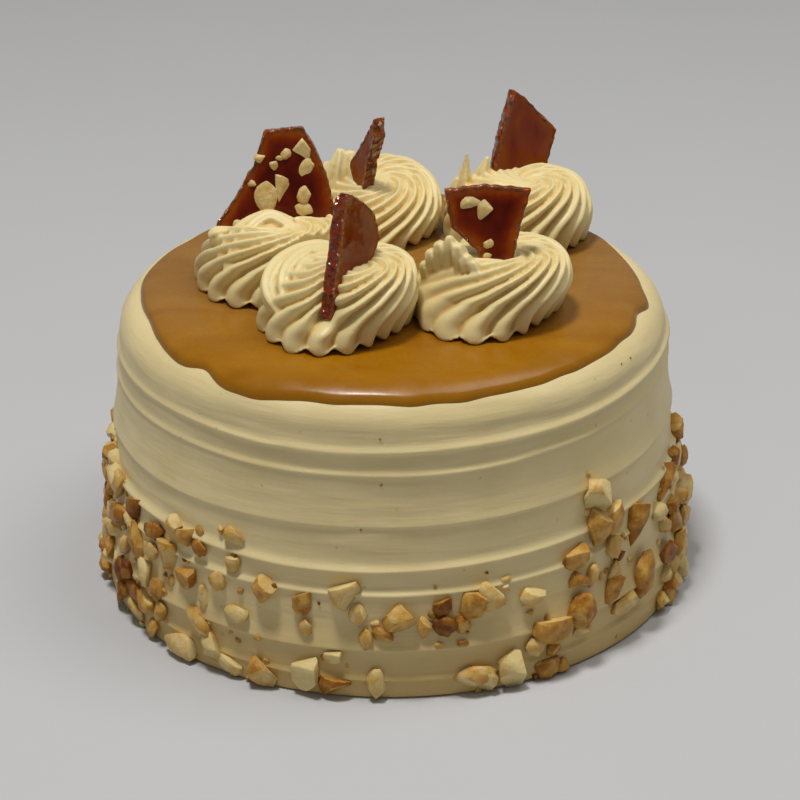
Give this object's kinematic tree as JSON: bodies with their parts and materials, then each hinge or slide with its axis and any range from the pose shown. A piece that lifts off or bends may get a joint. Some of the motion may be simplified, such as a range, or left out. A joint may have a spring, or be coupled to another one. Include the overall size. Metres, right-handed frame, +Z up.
{
  "type": "peanut butter truffle cake",
  "caption": "Round frosted cake with a poured caramel top, piped buttercream rosettes, shards of nut brittle standing in them and chopped peanuts pressed round the side.",
  "frame": {"origin": "middle of the flat underside of the cake", "axes": "+Z up; the side shown in the picture faces -Y, +X is to its right"},
  "size_m": [0.1617, 0.1617, 0.1249],
  "materials": {
    "frosting": "scraped buttercream, soft satin",
    "caramel": "poured caramel, glossy",
    "piping": "piped buttercream, soft satin",
    "brittle": "glassy dark caramel",
    "peanut": "roasted and chopped, dull"
  },
  "bodies": {
    "root": {"frosted_cake": "frosting", "caramel_glaze": "caramel", "rosette_left": "piping", "rosette_front": "piping", "rosette_right": "piping", "rosette_back_right": "piping", "rosette_back": "piping", "brittle_left": "brittle", "brittle_front": "brittle", "brittle_right": "brittle", "brittle_back_right": "brittle", "brittle_back": "brittle"}
  },
  "joints": []
}
